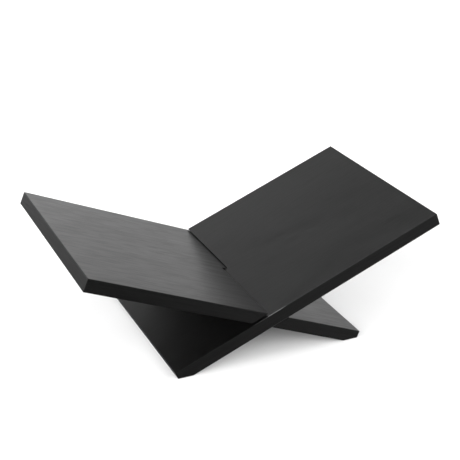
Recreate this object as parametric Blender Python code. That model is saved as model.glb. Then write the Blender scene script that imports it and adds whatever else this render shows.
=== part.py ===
"""Book display stand: two boards that slip into each other and stand as an X.

Each board is a lipped and veneered panel. A core is edged on all four sides with wood
lippings, and a face veneer above and below runs over the core and the lippings. A slot from
one long edge to mid width lets the other board through, and the corner under the foot is
sawn level with the table.

World frame: X across the stand, Y from front to rear, Z up, origin on the table under the
crossing of the boards. Board frame: X up along the board, Z square to its top face, origin
on the crossing axis at mid thickness, and the slot opens towards +Y.
"""

from math import cos, pi, radians, sin

import bmesh
import bpy
from mathutils import Vector

# Driving dimensions, in metres and radians.
SLOPE = radians(22.4)        # of each board above the table
BOARD_WIDTH = 0.240          # front to rear
BOARD_THICKNESS = 0.015
ARM_LENGTH = 0.223           # crossing axis to the upper end
LEG_LENGTH = 0.119           # crossing axis to the foot end
FOOT_TRIM = 0.0062           # height of the corner sawn off under the foot
VENEER = 0.0008
LIPPING = 0.003
GLUE_GAP = 0.0003
SLOT_PLAY = 0.0035           # slot width beyond one board thickness
SLOT_OVERRUN = 0.0005        # how far each slot runs past mid width
VENEER_LIFT = 0.0003         # the veneer's sawn edge stays this far off the table

# The play in the slots is taken up one way: the right board has settled onto the left one.
# Each value is the gap in that board's slot under the other board.
SLOT_GAP_BELOW = {"left": 0.0003, "right": 0.0026}

# Worked out from the driving dimensions.
HALF_WIDTH = BOARD_WIDTH / 2
HALF_THICKNESS = BOARD_THICKNESS / 2
CROSSING_HEIGHT = LEG_LENGTH * sin(SLOPE) + HALF_THICKNESS * cos(SLOPE) - FOOT_TRIM
CORE_HALF_THICKNESS = HALF_THICKNESS - VENEER - GLUE_GAP
VENEER_INNER_FACE = HALF_THICKNESS - VENEER
EDGE_BUILD_UP = LIPPING + GLUE_GAP

CUTTER_REACH = 0.040         # cutters stand this far past what they cut

# Colour and roughness of each kind of piece.
VENEER_FINISH = ((0.013, 0.013, 0.014, 1.0), 0.42)
LIPPING_FINISH = ((0.012, 0.012, 0.013, 1.0), 0.46)
CORE_FINISH = ((0.010, 0.010, 0.010, 1.0), 0.65)


def clear_scene():
    for item in list(bpy.data.objects):
        bpy.data.objects.remove(item, do_unlink=True)


def finished_material(name, finish):
    colour, roughness = finish
    material = bpy.data.materials.new(name)
    material.use_nodes = True
    shader = material.node_tree.nodes["Principled BSDF"]
    shader.inputs["Base Color"].default_value = colour
    shader.inputs["Roughness"].default_value = roughness
    shader.inputs["Metallic"].default_value = 0.0
    return material


def add_empty(name, location, rotation):
    empty = bpy.data.objects.new(name, None)
    empty.location = location
    empty.rotation_euler = rotation
    bpy.context.collection.objects.link(empty)
    return empty


def add_block(name, low, high, parent=None):
    """A rectangular block between two opposite corners, in the parent's frame."""
    low = Vector(low)
    size = Vector(high) - low
    mesh = bpy.data.meshes.new(name)
    bm = bmesh.new()
    bmesh.ops.create_cube(bm, size=1.0)
    bmesh.ops.scale(bm, vec=size, verts=bm.verts)
    bmesh.ops.translate(bm, vec=low + size / 2, verts=bm.verts)
    bm.to_mesh(mesh)
    bm.free()
    block = bpy.data.objects.new(name, mesh)
    block.parent = parent
    bpy.context.collection.objects.link(block)
    return block


def as_cutter(block):
    block.hide_render = True
    block.display_type = "WIRE"
    return block


def cut(block, cutter):
    boolean = block.modifiers.new(cutter.name, "BOOLEAN")
    boolean.operation = "DIFFERENCE"
    boolean.solver = "EXACT"
    boolean.object = cutter


def add_floor_cutter(name, height):
    """Takes away all that would be lower than height above the table."""
    reach = LEG_LENGTH + CUTTER_REACH
    low = (-reach, -HALF_WIDTH - CUTTER_REACH, -CUTTER_REACH)
    high = (reach, HALF_WIDTH + CUTTER_REACH, height)
    return as_cutter(add_block(name, low, high))


def add_slot_cutter(other_side, other_axis, gap_below):
    """The space that the other board needs, so it lies in that board's frame."""
    gap_above = SLOT_PLAY - gap_below
    low = (-CUTTER_REACH, -HALF_WIDTH - CUTTER_REACH, -HALF_THICKNESS - gap_below)
    high = (CUTTER_REACH, SLOT_OVERRUN, HALF_THICKNESS + gap_above)
    return as_cutter(add_block(f"slot_for_{other_side}_board", low, high, other_axis))


def add_piece(name, low, high, axis, finish, cutters):
    piece = add_block(name, low, high, axis)
    piece.data.materials.append(finished_material(f"{name}_finish", finish))
    for cutter in cutters:
        cut(piece, cutter)
    return piece


def add_core(side, axis, slot, floor):
    low = (-LEG_LENGTH + EDGE_BUILD_UP, -HALF_WIDTH + EDGE_BUILD_UP, -CORE_HALF_THICKNESS)
    high = (ARM_LENGTH - EDGE_BUILD_UP, HALF_WIDTH - EDGE_BUILD_UP, CORE_HALF_THICKNESS)
    add_piece(f"{side}_core", low, high, axis, CORE_FINISH, (slot, floor))


def add_veneers(side, axis, slot, floor):
    faces = {
        "top": (VENEER_INNER_FACE, HALF_THICKNESS),
        "underside": (-HALF_THICKNESS, -VENEER_INNER_FACE),
    }
    for face, (z_low, z_high) in faces.items():
        low = (-LEG_LENGTH, -HALF_WIDTH, z_low)
        high = (ARM_LENGTH, HALF_WIDTH, z_high)
        add_piece(f"{side}_{face}_veneer", low, high, axis, VENEER_FINISH, (slot, floor))


def add_lipping(name, x_range, y_range, axis, cutters):
    low = (x_range[0], y_range[0], -CORE_HALF_THICKNESS)
    high = (x_range[1], y_range[1], CORE_HALF_THICKNESS)
    add_piece(name, low, high, axis, LIPPING_FINISH, cutters)


def add_lippings(side, axis, slot, floor, slotted_edge, whole_edge):
    """The long lippings run to the board's corners, and the end ones fit between them."""
    slotted = (HALF_WIDTH - LIPPING, HALF_WIDTH)
    whole = (-HALF_WIDTH, -HALF_WIDTH + LIPPING)
    between = (-HALF_WIDTH + EDGE_BUILD_UP, HALF_WIDTH - EDGE_BUILD_UP)
    top_end = (ARM_LENGTH - LIPPING, ARM_LENGTH)
    foot_end = (-LEG_LENGTH, -LEG_LENGTH + LIPPING)

    arm_name = f"{side}_{slotted_edge}_arm_lipping"
    leg_name = f"{side}_{slotted_edge}_leg_lipping"
    add_lipping(arm_name, (0, ARM_LENGTH), slotted, axis, (slot,))
    add_lipping(leg_name, (-LEG_LENGTH, 0), slotted, axis, (slot, floor))
    add_lipping(f"{side}_{whole_edge}_lipping", (-LEG_LENGTH, ARM_LENGTH), whole, axis, (floor,))
    add_lipping(f"{side}_top_end_lipping", top_end, between, axis, ())
    add_lipping(f"{side}_foot_end_lipping", foot_end, between, axis, (floor,))


def build():
    clear_scene()
    crossing = (0, 0, CROSSING_HEIGHT)
    axes = {
        "left": add_empty("left_board_axis", crossing, (0, -SLOPE, pi)),
        "right": add_empty("right_board_axis", crossing, (0, -SLOPE, 0)),
    }
    floor = add_floor_cutter("table_level", 0)
    veneer_floor = add_floor_cutter("veneer_level", VENEER_LIFT)
    boards = (("left", "right", "front", "rear"), ("right", "left", "rear", "front"))
    for side, other_side, slotted_edge, whole_edge in boards:
        axis = axes[side]
        slot = add_slot_cutter(other_side, axes[other_side], SLOT_GAP_BELOW[side])
        add_core(side, axis, slot, floor)
        add_veneers(side, axis, slot, veneer_floor)
        add_lippings(side, axis, slot, floor, slotted_edge, whole_edge)


build()
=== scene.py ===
"""Looks of the book display stand: eased edges, black stained open-grain wood, soft light.

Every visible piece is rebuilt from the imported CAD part. A board is made as one eased blank
and parted into its core, lippings and veneers along their glue lines. Each piece keeps its
place along, across and through its grain as a vertex attribute, and the wood follows that.
"""

from math import asin, cos, pi, radians, sin, tan

import bmesh
import bpy
from mathutils import Matrix, Vector


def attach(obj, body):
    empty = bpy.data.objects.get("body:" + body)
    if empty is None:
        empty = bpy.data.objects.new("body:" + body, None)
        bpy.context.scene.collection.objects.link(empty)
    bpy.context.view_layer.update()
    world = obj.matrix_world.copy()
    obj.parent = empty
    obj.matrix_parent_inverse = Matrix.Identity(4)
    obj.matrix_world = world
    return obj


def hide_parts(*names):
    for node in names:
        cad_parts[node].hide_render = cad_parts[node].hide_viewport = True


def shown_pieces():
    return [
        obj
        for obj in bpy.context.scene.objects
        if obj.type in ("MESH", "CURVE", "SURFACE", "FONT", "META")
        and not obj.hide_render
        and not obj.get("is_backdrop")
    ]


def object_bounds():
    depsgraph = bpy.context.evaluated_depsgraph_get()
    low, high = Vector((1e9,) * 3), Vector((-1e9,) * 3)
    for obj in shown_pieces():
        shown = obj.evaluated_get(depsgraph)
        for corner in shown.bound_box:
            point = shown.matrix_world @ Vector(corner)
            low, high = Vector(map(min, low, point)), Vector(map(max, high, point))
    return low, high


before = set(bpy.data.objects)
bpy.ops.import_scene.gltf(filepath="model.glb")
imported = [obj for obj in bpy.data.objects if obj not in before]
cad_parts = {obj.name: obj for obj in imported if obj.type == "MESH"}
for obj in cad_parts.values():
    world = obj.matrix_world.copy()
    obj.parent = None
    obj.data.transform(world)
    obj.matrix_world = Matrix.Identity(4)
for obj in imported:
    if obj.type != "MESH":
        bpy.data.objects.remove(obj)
cad_low, cad_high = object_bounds()

# Shape details that the CAD leaves out. Lengths are in metres here and below.
ARRIS = 0.0006               # easing of the boards' outer edges
SLOT_ARRIS = 0.0002          # easing of the slot's square and obtuse edges
SLOT_NOSE = {"left": 0.0008, "right": 0.0009}    # radius of the slot's blunted feather edges
SLOT_END = 0.35              # share of the CAD's overrun past mid width that the slot keeps
GLUE_LINE = 0.00005          # width of the joint that shows between two pieces of a board
EASING_STEPS = 6

# How the CAD's shape is read and cut.
OUTSIDE = 0.002              # how far cutting boxes stand past the board
SLOT_REACH = 0.030           # the slot lies this close to the crossing axis
INNER_SHARE = 0.9            # of the half thickness: the middle of a slot wall is within it

# Angles that two faces turn through at the edge between them.
FLAT_TURN = radians(5)       # with less there is nothing to ease
SMOOTH_TURN = radians(35)    # with less the shading runs on over the edge
FEATHER_TURN = radians(120)  # with more it is a feather edge of the slot

FLATTEST = 100               # the weight that keeps the large faces' shading flat

# The slotted and the whole long edge of each board.
LONG_EDGES = {"left": ("front", "rear"), "right": ("rear", "front")}

# Names of the attributes that say where a vertex lies along, across and through the grain,
# and how far it is from the crossing and from the arrises of the whole edge.
GRAIN = "grain_place"
ARRIS_PLACE = "arris_place"

# How far apart in the tree, along and across it, the pieces' figures lie.
FIGURE_ALONG = 0.31
FIGURE_ACROSS = 0.011


# ------------------------------------------------------------------ boards

class Board:
    """One board as the frame has it: its axes, its extents and its slot."""

    def __init__(self, side, heading):
        self.side = side
        self.nodes = [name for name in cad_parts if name.startswith(side)]
        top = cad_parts[f"{side}_top_veneer"].data
        normal = max(top.polygons, key=lambda face: face.area * face.normal.z).normal
        slope = asin(abs(normal.x))
        self.axes = Matrix.Rotation(heading, 4, "Z") @ Matrix.Rotation(-slope, 4, "Y")
        low, high = self.extents(self.nodes)
        crossing = Vector((0, 0, (low.z + high.z) / 2 / cos(slope)))
        self.axes = Matrix.Translation(crossing) @ self.axes
        self.low, self.high = self.extents(self.nodes)

    def points(self, nodes):
        to_board = self.axes.inverted()
        return [to_board @ v.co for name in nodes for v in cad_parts[name].data.vertices]

    def extents(self, nodes):
        points = self.points(nodes)
        low = Vector([min(p[i] for p in points) for i in range(3)])
        high = Vector([max(p[i] for p in points) for i in range(3)])
        return low, high

    def slot_beside(self, other):
        """The slot's two walls, as heights in the other board's axes, and its inner end."""
        near = [p for p in other.points([f"{self.side}_core"]) if abs(p.x) < SLOT_REACH]
        below = max(p.z for p in near if p.z < 0)
        above = min(p.z for p in near if p.z > 0)
        end = min(abs(p.y) for p in near)
        return below, above, end


def new_object(name, mesh, axes):
    made = bpy.data.objects.new(name, mesh)
    made.matrix_world = axes
    bpy.context.scene.collection.objects.link(made)
    return made


def block(name, low, high, axes):
    low = Vector(low)
    size = Vector(high) - low
    bm = bmesh.new()
    bmesh.ops.create_cube(bm, size=1.0)
    bmesh.ops.scale(bm, vec=size, verts=bm.verts)
    bmesh.ops.translate(bm, vec=low + size / 2, verts=bm.verts)
    mesh = bpy.data.meshes.new(name)
    bm.to_mesh(mesh)
    bm.free()
    return new_object(name, mesh, axes)


def apply_modifiers(obj):
    bpy.context.view_layer.update()
    graph = bpy.context.evaluated_depsgraph_get()
    mesh = bpy.data.meshes.new_from_object(obj.evaluated_get(graph), depsgraph=graph)
    obj.modifiers.clear()
    obj.data = mesh


def combine(obj, other, operation):
    """Cuts the other object from this one, or keeps what they share, and drops the other."""
    boolean = obj.modifiers.new("boolean", "BOOLEAN")
    boolean.operation = operation
    boolean.solver = "EXACT"
    boolean.object = other
    apply_modifiers(obj)
    bpy.data.objects.remove(other)


def in_slot(face, board):
    """Whether a face of the board's blank is a wall or the end of its slot."""
    centre = face.calc_center_median()
    return abs(centre.x) < SLOT_REACH and abs(centre.z) < INNER_SHARE * board.high.z


def easing_reach(edge, board):
    """How far the easing of an edge reaches along each of its faces."""
    turn = edge.calc_face_angle()
    if not edge.is_convex or turn < FLAT_TURN:
        return 0.0
    if turn > FEATHER_TURN:
        return SLOT_NOSE[board.side] / tan((pi - turn) / 2)
    slot_edge = any(in_slot(face, board) for face in edge.link_faces)
    return SLOT_ARRIS if slot_edge else ARRIS


def ease_edges(blank, board):
    bm = bmesh.new()
    bm.from_mesh(blank.data)
    weight = bm.edges.layers.float.new("bevel_weight_edge")
    reaches = {edge: easing_reach(edge, board) for edge in bm.edges}
    widest = max(reaches.values())
    for edge, reach in reaches.items():
        edge[weight] = reach / widest
    bm.to_mesh(blank.data)
    bm.free()
    bevel = blank.modifiers.new("easing", "BEVEL")
    bevel.limit_method = "WEIGHT"
    bevel.width = widest
    bevel.segments = EASING_STEPS
    bevel.use_clamp_overlap = False
    bevel.miter_outer = "MITER_ARC"
    apply_modifiers(blank)


def eased_blank(board, other):
    """The whole board as one solid, with its slot, its sawn foot and its eased edges."""
    blank = block(f"{board.side}_blank", board.low, board.high, board.axes)
    below, above, slot_end = board.slot_beside(other)
    slot_low = (-2 * SLOT_REACH, other.low.y - OUTSIDE, below)
    slot_high = (2 * SLOT_REACH, SLOT_END * slot_end, above)
    combine(blank, block("slot", slot_low, slot_high, other.axes), "DIFFERENCE")
    far = 2 * cad_high.x
    table = block("table", (-far, -far, -far), (far, far, 0.0), Matrix.Identity(4))
    combine(blank, table, "DIFFERENCE")
    ease_edges(blank, board)
    return blank


def all_ways(distance):
    return Vector((distance, distance, distance))


def zones(board):
    """The stretch of the board that each node takes, out to the middles of its glue gaps."""
    side = board.side
    slotted, whole = LONG_EDGES[side]
    core_low, core_high = board.extents([f"{side}_core"])
    gap = board.extents([f"{side}_top_veneer"])[0].z - core_high.z
    near = core_low - all_ways(gap / 2)
    far = core_high + all_ways(gap / 2)
    low = board.low - all_ways(OUTSIDE)
    high = board.high + all_ways(OUTSIDE)
    return {
        f"{side}_core": (near, far),
        f"{side}_top_veneer": ((low.x, low.y, far.z), high),
        f"{side}_underside_veneer": (low, (high.x, high.y, near.z)),
        f"{side}_{slotted}_arm_lipping": ((0, far.y, near.z), (high.x, high.y, far.z)),
        f"{side}_{slotted}_leg_lipping": ((low.x, far.y, near.z), (0, high.y, far.z)),
        f"{side}_{whole}_lipping": ((low.x, low.y, near.z), (high.x, near.y, far.z)),
        f"{side}_top_end_lipping": ((far.x, near.y, near.z), (high.x, far.y, far.z)),
        f"{side}_foot_end_lipping": ((low.x, near.y, near.z), (near.x, far.y, far.z)),
    }


def keep_places(mesh, board, along_y, shift):
    """Stores where each vertex lies in the grain and beside the arrises of the whole edge."""
    grain = mesh.attributes.new(GRAIN, "FLOAT_VECTOR", "POINT")
    arris = mesh.attributes.new(ARRIS_PLACE, "FLOAT_VECTOR", "POINT")
    for vertex, in_grain, by_arris in zip(mesh.vertices, grain.data, arris.data):
        x, y, z = vertex.co
        in_grain.vector = Vector((y, z, x) if along_y else (x, y, z)) + shift
        by_arris.vector = (x, y - board.low.y, board.high.z - abs(z))


def shade_smooth(piece):
    """Smooth over the easings, and flat over the faces between them."""
    piece.data.shade_smooth()
    piece.data.set_sharp_from_angle(angle=SMOOTH_TURN)
    weighted = piece.modifiers.new("flat_faces", "WEIGHTED_NORMAL")
    weighted.keep_sharp = True
    weighted.weight = FLATTEST


def make_pieces(board, other, materials, first_number):
    """Parts the board's blank into the pieces that stand for its CAD nodes."""
    blank = eased_blank(board, other)
    line = all_ways(GLUE_LINE / 2)
    for number, (node, (low, high)) in enumerate(zones(board).items(), first_number):
        kind = node.split("_")[-1]
        piece = new_object(f"{node}_piece", blank.data.copy(), board.axes)
        zone = block("zone", Vector(low) + line, Vector(high) - line, board.axes)
        combine(piece, zone, "INTERSECT")
        # Each figure lies farther up the tree, up to three rows to either side of its heart.
        row = number * 5 % 7 - 3
        shift = Vector((FIGURE_ALONG * number, FIGURE_ACROSS * row, 0.0))
        keep_places(piece.data, board, node.endswith("end_lipping"), shift)
        piece.data.transform(board.axes)
        piece.matrix_world = Matrix.Identity(4)
        shade_smooth(piece)
        material, slot = materials[kind]
        piece.data.materials.clear()
        piece.data.materials.append(material)
        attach(piece, f"{board.side}_board")
        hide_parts(node)
    bpy.data.objects.remove(blank)


# --------------------------------------------------------------- materials

# Wood figure.
RING_WIDTH = 0.0052          # of a growth ring where the cut is square to it
HEART_DEPTH = 0.030          # of the tree's heart below the middle of a veneer leaf
HEART_CLIMB = 0.018          # how far the leaf rises and falls beside the heart along the grain
HEART_WAVES = 9.0            # radians to the metre of that rise and fall
SWAY = 0.007                 # how far the grain wanders sideways
WOOD_RELIEF = 0.000014       # how deep a height of 1 is
CORE_RELIEF = 0.00010

# Early wood in a growth ring, as shares of the ring.
EARLY_RISE = (0.0, 0.12)     # it sets in from the first to the second
EARLY_FADE = (0.9, 0.15)     # it has gone at the first and is still whole at the second
LATE_PORES = 0.25            # how much of the early wood's pores the late wood has

# Cycles to the metre along, across and through the grain, how many finer noises are added, and
# how strong these are.
NOISES = {
    "wander": ((9, 24, 24), 2.0, 0.5),
    "clouds": ((9, 22, 22), 3.0, 0.5),
    "fibres": ((14, 520, 520), 3.0, 0.6),
    "streaks": ((30, 230, 230), 3.0, 0.65),
    "pores": ((45, 1500, 1500), 1.0, 0.5),
    # The patchy noise makes the rubbed wear and the painted highlight on the arris uneven.
    "patchy_wear_and_highlight": ((160, 600, 600), 2.0, 0.5),
    "core_flecks": ((900, 700, 1400), 3.0, 0.65),
    "core_patches": ((60, 60, 90), 2.0, 0.5),
    "core_ripple": ((40, 450, 40), 1.0, 0.5),
}

# The values of a noise that become 0 and 1.
CONTRAST = {
    "clouds": (0.3, 0.7),
    "fibres": (0.3, 0.7),
    "streaks": (0.34, 0.66),
    "pores": (0.52, 0.62),
}

# How much each mark adds to a wood's tone, roughness and height.
WOOD_TONE = {
    "clear_fibres": 1.0, "early_wood": -0.15, "streaks": 0.3, "pores": -0.3, "clear_clouds": 0.3,
}
WOOD_ROUGHNESS = {"pores": 0.03, "early_wood": 0.01, "streaks": 0.07, "clouds": 0.06}
WOOD_HEIGHT = {"pores": -0.5, "fibres": 0.25, "early_wood": -0.3}

# The same for the core, each with the value that it starts from.
CORE_TONE = (-0.2, {"flecks": 1.0, "patches": 0.5})
CORE_ROUGHNESS = (0.58, {"flecks": 0.25})
CORE_HEIGHT = (0.0, {"flecks": 1.0, "ripple": 0.8})

# Darkest and lightest tone of each stain, and the roughness of the stained woods.
VENEER_STAIN = (0.008, 0.012, 0.335)
LIPPING_STAIN = (0.004, 0.013, 0.36)
CORE_STAIN = (0.005, 0.014)

# The arris that the other board's slot rubs pale, with a painted highlight laid over that wear:
# strong near the crossing and faint along the rest of the edge. It has faded at the first distance
# and is whole at the second, both from the crossing along the edge and from the corner around it.
RUBBED_AND_HIGHLIT_TONE = 0.20
RUBBED_AND_HIGHLIT_ALONG = (0.030, 0.016)
RUBBED_AND_HIGHLIT_AROUND = (0.0007, 0.0005)
# Away from the crossing only a faint painted highlight is left on the arris.
PAINTED_HIGHLIGHT_FAR = 0.10            # how much of it is left farther along the edge
RUBBED_AND_HIGHLIT_UNEVEN = 0.012        # how much farther off a patch can seem to be

# Sockets of the mix node that are for colours.
MIX_LOW = 6
MIX_HIGH = 7
MIX_COLOUR = 2


class Nodes:
    """A node tree being made. Each node is added with its settings and its inputs at once."""

    def __init__(self, tree):
        self.tree = tree

    def feed(self, socket, value):
        if isinstance(value, bpy.types.NodeSocket):
            self.tree.links.new(value, socket)
        else:
            socket.default_value = value

    def node(self, kind, inputs, output=0, **settings):
        made = self.tree.nodes.new(kind)
        for name, value in settings.items():
            setattr(made, name, value)
        for key, value in inputs.items():
            self.feed(made.inputs[key], value)
        return made.outputs[output]

    def attribute(self, name):
        return self.node("ShaderNodeAttribute", {}, "Vector", attribute_name=name)

    def part(self, vector, axis):
        return self.node("ShaderNodeSeparateXYZ", {"Vector": vector}, axis)

    def math(self, operation, *values):
        return self.node("ShaderNodeMath", dict(enumerate(values)), operation=operation)

    def vector(self, operation, *values):
        return self.node("ShaderNodeVectorMath", dict(enumerate(values)), operation=operation)

    def measure(self, operation, *values):
        """A number that comes from vectors, such as a length."""
        inputs = dict(enumerate(values))
        return self.node("ShaderNodeVectorMath", inputs, "Value", operation=operation)

    def noise(self, place, name):
        cycles, detail, roughness = NOISES[name]
        stretched = self.vector("MULTIPLY", place, cycles)
        inputs = {"Vector": stretched, "Scale": 1.0, "Detail": detail, "Roughness": roughness}
        return self.node("ShaderNodeTexNoise", inputs)

    def ramp(self, value, start, end, low=0.0, high=1.0):
        """A smooth step of a value from low at start to high at end."""
        inputs = {"Value": value, "From Min": start, "From Max": end, "To Min": low, "To Max": high}
        return self.node("ShaderNodeMapRange", inputs, interpolation_type="SMOOTHSTEP")

    def centred(self, value):
        return self.math("SUBTRACT", value, 0.5)

    def total(self, start, marks, shares):
        """The start and a share of each mark together."""
        for name, share in shares.items():
            start = self.math("MULTIPLY_ADD", marks[name], share, start)
        return start

    def blend(self, factor, low, high):
        inputs = {"Factor": factor, MIX_LOW: low, MIX_HIGH: high}
        return self.node("ShaderNodeMix", inputs, MIX_COLOUR, data_type="RGBA")


class Pattern(Nodes):
    """A material being made."""

    def __init__(self, name):
        self.material = bpy.data.materials.new(name)
        self.material.use_nodes = True
        super().__init__(self.material.node_tree)
        self.shader = self.tree.nodes["Principled BSDF"]

    def finish(self, colour, roughness, height, relief):
        """Connects the pattern. Relief is how deep, in metres, a height of 1 is."""
        self.feed(self.shader.inputs["Base Color"], colour)
        self.feed(self.shader.inputs["Roughness"], roughness)
        bump = self.node("ShaderNodeBump", {"Height": height, "Distance": relief})
        self.feed(self.shader.inputs["Normal"], bump)
        return self.material


def grey(value):
    return (value, value, value, 1.0)


def rubbed_and_highlit_arris(pattern):
    """Where the other board's slot slides over an arris of the whole edge, it is rubbed pale and
    given a painted highlight; a faint painted highlight runs on along the rest of the edge.
    """
    place = pattern.attribute(ARRIS_PLACE)
    from_crossing = pattern.math("ABSOLUTE", pattern.part(place, "X"))
    from_corner = pattern.math("ADD", pattern.part(place, "Y"), pattern.part(place, "Z"))
    patchy = pattern.noise(place, "patchy_wear_and_highlight")
    rubbed_and_highlit_reach = pattern.math("MULTIPLY_ADD", patchy, RUBBED_AND_HIGHLIT_UNEVEN, from_crossing)
    along = pattern.ramp(rubbed_and_highlit_reach, *RUBBED_AND_HIGHLIT_ALONG, PAINTED_HIGHLIGHT_FAR, 1.0)
    around = pattern.ramp(from_corner, *RUBBED_AND_HIGHLIT_AROUND)
    return pattern.math("MULTIPLY", along, around)


def wandering_grain(pattern, place):
    """The place in the grain, moved sideways as the fibres wander."""
    wander = pattern.noise(place, "wander")
    sideways = pattern.math("MULTIPLY", pattern.centred(wander), SWAY)
    return pattern.vector("ADD", place, pattern.node("ShaderNodeCombineXYZ", {"Y": sideways}))


def early_wood(pattern, bent):
    """How much a place is early wood, by where it lies in its growth ring."""
    climb = pattern.math("SINE", pattern.math("MULTIPLY", pattern.part(bent, "X"), HEART_WAVES))
    depth = pattern.math("MULTIPLY_ADD", climb, HEART_CLIMB, HEART_DEPTH)
    heart = pattern.node("ShaderNodeCombineXYZ", {"X": pattern.part(bent, "Y"), "Y": depth})
    distance = pattern.measure("LENGTH", heart)
    ring = pattern.math("FRACT", pattern.math("DIVIDE", distance, RING_WIDTH))
    risen = pattern.ramp(ring, *EARLY_RISE)
    return pattern.math("MULTIPLY", risen, pattern.ramp(ring, *EARLY_FADE))


def wood_marks(pattern):
    """The marks of ring-porous wood by name."""
    place = pattern.attribute(GRAIN)
    bent = wandering_grain(pattern, place)
    early = early_wood(pattern, bent)
    fibres = pattern.noise(bent, "fibres")
    clouds = pattern.noise(place, "clouds")
    streaks = pattern.ramp(pattern.noise(bent, "streaks"), *CONTRAST["streaks"])
    pore_sites = pattern.ramp(pattern.noise(bent, "pores"), *CONTRAST["pores"])
    pore_share = pattern.ramp(early, 0.0, 1.0, LATE_PORES, 1.0)
    return {
        "early_wood": early,
        "fibres": fibres,
        "clear_fibres": pattern.ramp(fibres, *CONTRAST["fibres"]),
        "pores": pattern.math("MULTIPLY", pore_sites, pore_share),
        "streaks": pattern.centred(streaks),
        "clouds": pattern.centred(clouds),
        "clear_clouds": pattern.ramp(clouds, *CONTRAST["clouds"]),
    }


def stained_wood(name, dark, light, roughness):
    """Black stained ring-porous wood: growth rings, long fibres and open pores along the grain."""
    pattern = Pattern(name)
    marks = wood_marks(pattern)
    stain = pattern.blend(pattern.total(0.0, marks, WOOD_TONE), grey(dark), grey(light))
    # The arris's pale colour is rubbed wear near the crossing with a painted highlight over it, and
    # a faint painted highlight along the rest of the edge.
    colour = pattern.blend(rubbed_and_highlit_arris(pattern), stain, grey(RUBBED_AND_HIGHLIT_TONE))
    matt = pattern.total(roughness, marks, WOOD_ROUGHNESS)
    height = pattern.total(0.0, marks, WOOD_HEIGHT)
    return pattern.finish(colour, matt, height, WOOD_RELIEF)


def stained_core(name, dark, light):
    """Black stained fibre board: flecks of fibre and the faint ripple of the saw."""
    pattern = Pattern(name)
    place = pattern.attribute(GRAIN)
    marks = {kind: pattern.noise(place, f"core_{kind}") for kind in ("flecks", "patches", "ripple")}
    tone, matt, height = [
        pattern.total(start, marks, shares)
        for start, shares in (CORE_TONE, CORE_ROUGHNESS, CORE_HEIGHT)
    ]
    colour = pattern.blend(tone, grey(dark), grey(light))
    return pattern.finish(colour, matt, height, CORE_RELIEF)


# ---------------------------------------------------------- floor and light

FLOOR_REACH = 6.0            # radius of the floor
FLOOR_CORNERS = 96
FLOOR_TONE = 0.80
FLOOR_ROUGHNESS = 0.9

# Brightness of the studio by elevation in degrees, where it is at its full strength.
SURROUNDINGS = (
    (-90, 0.20), (-6, 0.22), (2, 3.50), (8, 1.70), (19, 1.25), (27, 0.70), (36, 0.18),
    (44, 0.10), (62, 0.20), (80, 1.60), (90, 1.80),
)
ALL_ROUND = 0.40             # how much of that strength there is in every direction
DIFFUSE_SHARE = 0.15         # how much of it all lights a matt surface: the lamps do the rest

# What is added to it towards some headings: an azimuth in degrees from the rear, the cosine of
# half its width, an amount, and the heights in the studio's unit sphere where it is absent and
# where it is whole.
HEADINGS = (
    (0, 0.84, 0.58, -0.10, 0.03),
    (45, 0.90, 0.08, -0.10, 0.03),
    (-42, 0.90, 0.30, -0.10, 0.03),
    (135, 0.88, 1.20, 0.15, -0.05),
    (-120, 0.80, 0.45, -0.10, 0.03),
)

# The lamps, each with an azimuth from the front and an elevation in degrees, and a strength.
# One shines on the stand from high behind it and a weak one from its front. A ring of them
# lights the floor and reaches under the arms, so that only the floor between the legs is in
# shade.
STAND_LIGHTS = ((180, 50, 6.6), (-20, 30, 0.5))
FLOOR_LIGHTS = ((-90, 24, 4.4), (-35, 24, 2.6), (30, 24, 2.2), (90, 24, 3.0), (180, 24, 2.4))
LIGHT_WIDTH = radians(50)


def add_floor():
    bm = bmesh.new()
    bmesh.ops.create_circle(bm, cap_ends=True, segments=FLOOR_CORNERS, radius=FLOOR_REACH)
    mesh = bpy.data.meshes.new("floor")
    bm.to_mesh(mesh)
    bm.free()
    floor = new_object("floor", mesh, Matrix.Identity(4))
    floor.visible_glossy = False
    floor.visible_diffuse = False
    pattern = Pattern("pale_floor")
    pattern.feed(pattern.shader.inputs["Base Color"], grey(FLOOR_TONE))
    pattern.feed(pattern.shader.inputs["Roughness"], FLOOR_ROUGHNESS)
    mesh.materials.append(pattern.material)
    floor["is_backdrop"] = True
    return floor


def studio_brightness(studio, height):
    """The studio's brightness at a height in its unit sphere."""
    position = studio.math("MULTIPLY_ADD", height, 0.5, 0.5)
    brightness = studio.node("ShaderNodeValToRGB", {"Fac": position}, "Color")
    stops = brightness.node.color_ramp.elements
    while len(stops) < len(SURROUNDINGS):
        stops.new(0.5)
    for stop, (elevation, value) in zip(stops, SURROUNDINGS):
        stop.position = (sin(radians(elevation)) + 1) / 2
        stop.color = grey(value)
    return brightness


def studio_strength(studio, direction, height):
    """How much of its full strength the studio has in a direction."""
    level = studio.vector("MULTIPLY", direction, (1, 1, 0))
    heading = studio.vector("NORMALIZE", level)
    strength = ALL_ROUND
    for azimuth, half_width, amount, absent, whole in HEADINGS:
        middle = (sin(radians(azimuth)), cos(radians(azimuth)), 0)
        along = studio.measure("DOT_PRODUCT", heading, middle)
        added = studio.ramp(along, half_width, 1.0, 0.0, amount)
        level_share = studio.ramp(height, absent, whole)
        strength = studio.math("MULTIPLY_ADD", added, level_share, strength)
    return strength


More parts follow.
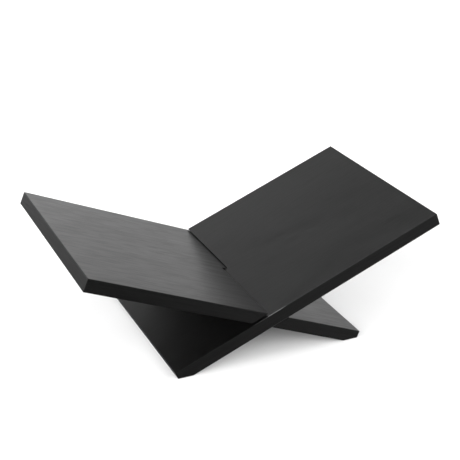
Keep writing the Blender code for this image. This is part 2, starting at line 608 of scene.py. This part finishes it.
def add_surroundings():
    """A soft studio that is brightest low down, and plain white where the camera sees it."""
    world = bpy.data.worlds.new("studio")
    world.use_nodes = True
    bpy.context.scene.world = world
    studio = Nodes(world.node_tree)
    direction = studio.node("ShaderNodeTexCoord", {}, "Generated")
    height = studio.part(direction, "Z")
    rays = studio.tree.nodes.new("ShaderNodeLightPath").outputs

    by_ray = {"Factor": rays["Is Diffuse Ray"], "A": 1.0, "B": DIFFUSE_SHARE}
    share = studio.node("ShaderNodeMix", by_ray, "Result")
    strength = studio.math("MULTIPLY", studio_strength(studio, direction, height), share)
    lit = studio.tree.nodes["Background"]
    studio.feed(lit.inputs["Color"], studio_brightness(studio, height))
    studio.feed(lit.inputs["Strength"], strength)

    seen = studio.node("ShaderNodeBackground", {"Color": grey(1.0), "Strength": 1.0})
    sides = {0: rays["Is Camera Ray"], 1: lit.outputs[0], 2: seen}
    mixed = studio.node("ShaderNodeMixShader", sides)
    studio.feed(studio.tree.nodes["World Output"].inputs["Surface"], mixed)


def add_lights(kind, places, receivers):
    """Wide soft lights that fall on the receivers alone."""
    lit = bpy.data.collections.new(f"{kind}_receivers")
    for receiver in receivers:
        lit.objects.link(receiver)
    for number, (azimuth, elevation, strength) in enumerate(places, 1):
        light = bpy.data.lights.new(f"{kind}_light_{number}", "SUN")
        light.energy = strength
        light.angle = LIGHT_WIDTH
        lamp = bpy.data.objects.new(light.name, light)
        lamp.rotation_euler = (radians(90 - elevation), 0, radians(azimuth))
        lamp.visible_glossy = False
        lamp.light_linking.receiver_collection = lit
        bpy.context.scene.collection.objects.link(lamp)


# ------------------------------------------------------------------ camera

# It stands where the photograph's stood. Its lens and sensor are in millimetres.
LOOKS_AT = (0.00426, 0.0, 0.10290)
AZIMUTH = radians(-25.09)
ELEVATION = radians(24.45)
DISTANCE = 1.2270
ROLL = radians(0.901)
SENSOR = 36.0
LENS = 83.29


def add_camera():
    back = Vector((sin(AZIMUTH) * cos(ELEVATION), -cos(AZIMUTH) * cos(ELEVATION), sin(ELEVATION)))
    right = Vector((0, 0, 1)).cross(back).normalized()
    level = Matrix((right, back.cross(right), back)).transposed().to_4x4()
    camera = bpy.data.objects.new("camera", bpy.data.cameras.new("camera"))
    camera.data.sensor_width = SENSOR
    camera.data.lens = LENS
    place = Matrix.Translation(Vector(LOOKS_AT) + DISTANCE * back)
    camera.matrix_world = place @ Matrix.Rotation(ROLL, 4, back) @ level
    bpy.context.scene.collection.objects.link(camera)
    bpy.context.scene.camera = camera


# ------------------------------------------------------------------- scene


def build():
    left = Board("left", pi)
    right = Board("right", 0.0)
    materials = {
        "veneer": (stained_wood("stained_veneer", *VENEER_STAIN), "face_veneer"),
        "lipping": (stained_wood("stained_lipping", *LIPPING_STAIN), "edge_lipping"),
        "core": (stained_core("stained_core", *CORE_STAIN), "core_board"),
    }
    make_pieces(left, right, materials, 1)
    make_pieces(right, left, materials, 1 + len(left.nodes))
    floor = add_floor()
    add_surroundings()
    add_lights("stand", STAND_LIGHTS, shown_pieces())
    add_lights("floor", FLOOR_LIGHTS, [floor])
    add_camera()
    bpy.context.scene.view_settings.view_transform = "Standard"


build()
